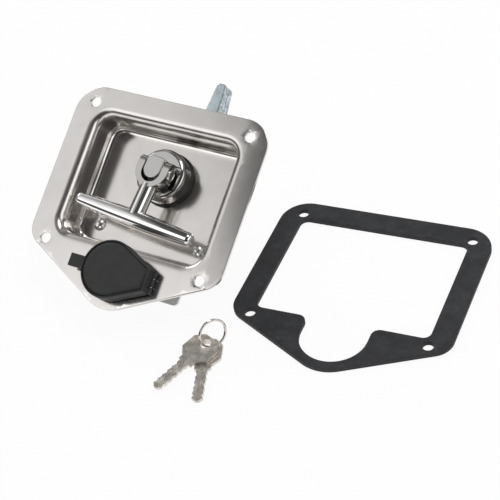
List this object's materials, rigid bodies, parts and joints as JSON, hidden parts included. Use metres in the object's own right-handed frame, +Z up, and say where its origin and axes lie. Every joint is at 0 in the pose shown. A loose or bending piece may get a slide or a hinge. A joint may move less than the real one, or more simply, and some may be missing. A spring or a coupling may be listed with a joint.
{
  "type": "t-handle latch",
  "caption": "Flush folding T-handle latch in a deep stainless dish, with a pawl, a key lock under a flip cap, a loose gasket, keys and a split ring.",
  "frame": {"origin": "centre of the four mounting holes on the flange's panel face; the latch leans back about X by 32.56 degrees and rests on the table with its lock and its shaft end", "axes": "+X to the right of the dish and towards the gasket, +Z up from the table that the set lies on, +Y away from the keys"},
  "size_m": [0.2547, 0.1913, 0.0836],
  "materials": {
    "polished_stainless": "mirror-polished stainless sheet",
    "zinc_plated_steel": "bright zinc plate",
    "polished_chrome": "polished",
    "lock_nickel": "satin nickel plate",
    "cast_pawl": "zinc-plated casting",
    "black_plastic": "satin moulded",
    "seal_rubber": "matte",
    "gasket_rubber": "matte sheet",
    "key_nickel": "nickel plate, tumbled"
  },
  "bodies": {
    "housing": {"dish_plate": "polished_stainless", "floor_rivet_1": "polished_stainless", "floor_rivet_2": "polished_stainless", "stop_bracket": "zinc_plated_steel", "hub_seal": "seal_rubber", "bearing_bush": "zinc_plated_steel", "thrust_washer": "zinc_plated_steel", "lock_body": "polished_chrome", "lock_nut": "zinc_plated_steel", "cap_base": "black_plastic", "cap_pin": "zinc_plated_steel", "gasket": "gasket_rubber", "key_1": "key_nickel", "key_2": "key_nickel", "key_ring": "key_nickel"},
    "spindle": {"spindle": "polished_chrome", "lock_plate": "zinc_plated_steel", "spacer_tube": "zinc_plated_steel", "pawl": "cast_pawl", "lock_washer": "zinc_plated_steel", "hex_nut": "zinc_plated_steel"},
    "t_handle": {"t_handle": "polished_chrome", "hinge_pin": "polished_chrome"},
    "lock_plug": {"lock_plug": "lock_nickel", "lock_cam": "zinc_plated_steel", "cam_screw": "zinc_plated_steel"},
    "cap_lid": {"cap_lid": "black_plastic"}
  },
  "joints": [
    {"name": "spindle_turn", "type": "hinge", "parent": "housing", "child": "spindle", "pos_m": [0, 0.01011, 0.00646], "axis": [0, -0.5381, 0.8429], "range_deg": [0, 90]},
    {"name": "t_handle_lift", "type": "hinge", "parent": "spindle", "child": "t_handle", "pos_m": [0, 0.01119, 0.00477], "axis": [-0.9962, 0.0735, 0.0469], "range_deg": [0, 90]},
    {"name": "lock_turn", "type": "hinge", "parent": "housing", "child": "lock_plug", "pos_m": [0, -0.044, -0.02809], "axis": [0, -0.5381, 0.8429], "range_deg": [0, 90]},
    {"name": "cap_flip", "type": "hinge", "parent": "housing", "child": "cap_lid", "pos_m": [0.026, -0.04588, -0.02514], "axis": [0, 0.8429, 0.5381], "range_deg": [0, 100]}
  ],
  "couplings": [
    {"joint": "t_handle_lift", "follows": "spindle_turn", "ratio": 1}
  ]
}
